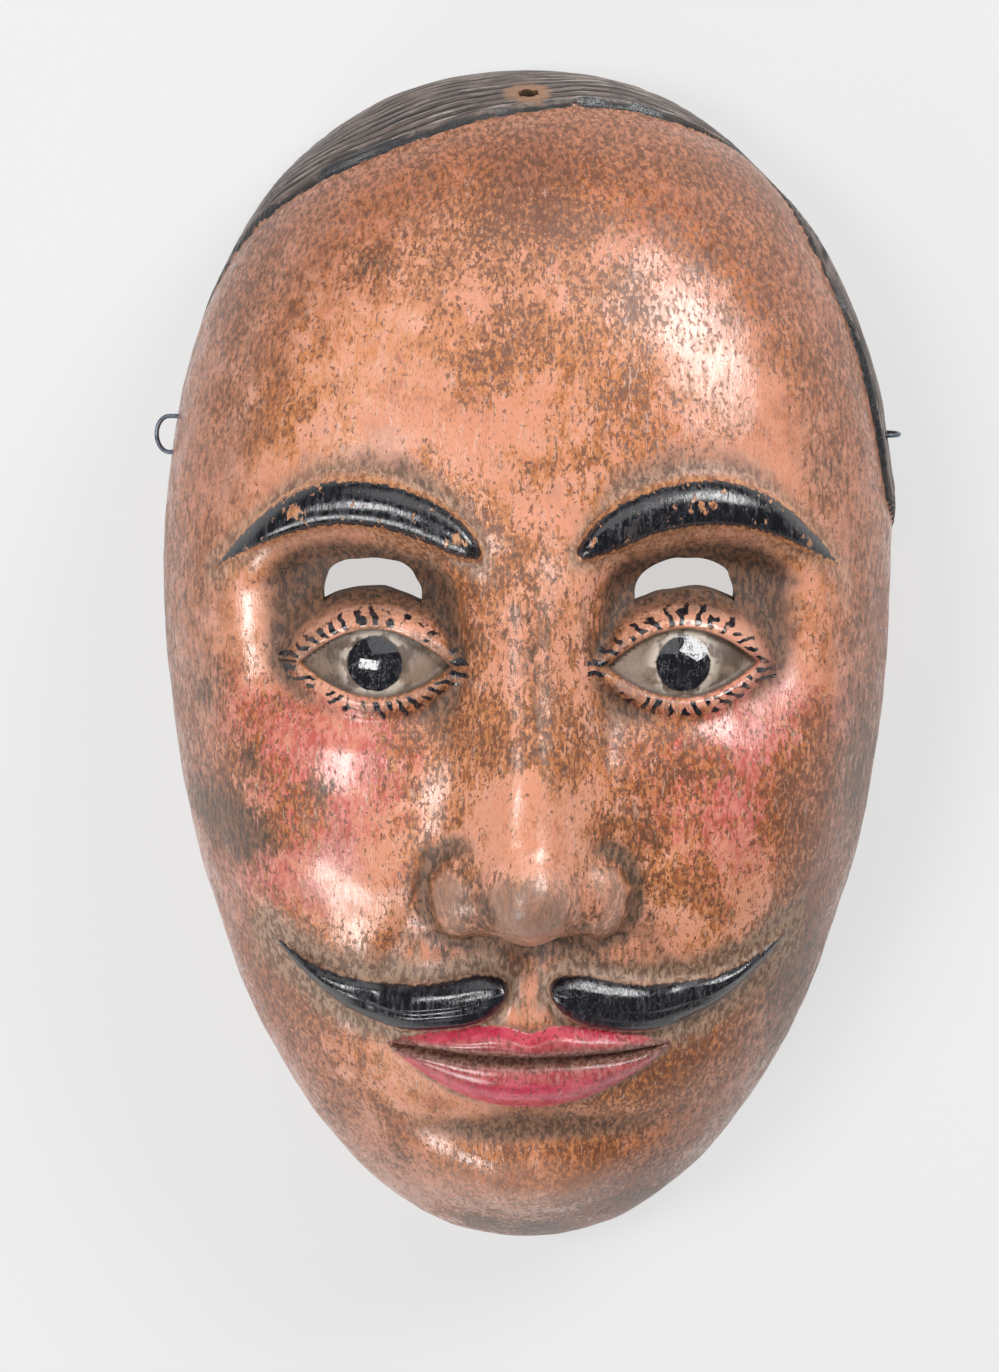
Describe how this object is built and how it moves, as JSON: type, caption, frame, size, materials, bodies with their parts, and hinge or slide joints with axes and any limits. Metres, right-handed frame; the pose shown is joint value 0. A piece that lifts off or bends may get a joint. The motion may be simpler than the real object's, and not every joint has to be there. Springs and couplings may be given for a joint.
{
  "type": "dance mask",
  "caption": "Hollow carved wooden face mask with a raised combed hair cap, moustache, a vision slit over each eye, a cord hole at the top and wire tie loops at the temples.",
  "frame": {"origin": "middle of the footprint, on the plane of the flat back rim that the mask rests on", "axes": "+X to the viewer's right, +Y up the face to the hair, +Z out of the face; the mask lies on its rim with the face up"},
  "size_m": [0.1324, 0.21, 0.0762],
  "materials": {
    "painted_wood": "hand-painted in salmon, black, pink and brown, satin, worn, over bare carved wood on the back",
    "wire": "thin dull wire, blue-grey, tarnished"
  },
  "bodies": {
    "root": {"mask_body": "painted_wood", "tie_loop_left": "wire", "tie_loop_right": "wire"}
  },
  "joints": []
}
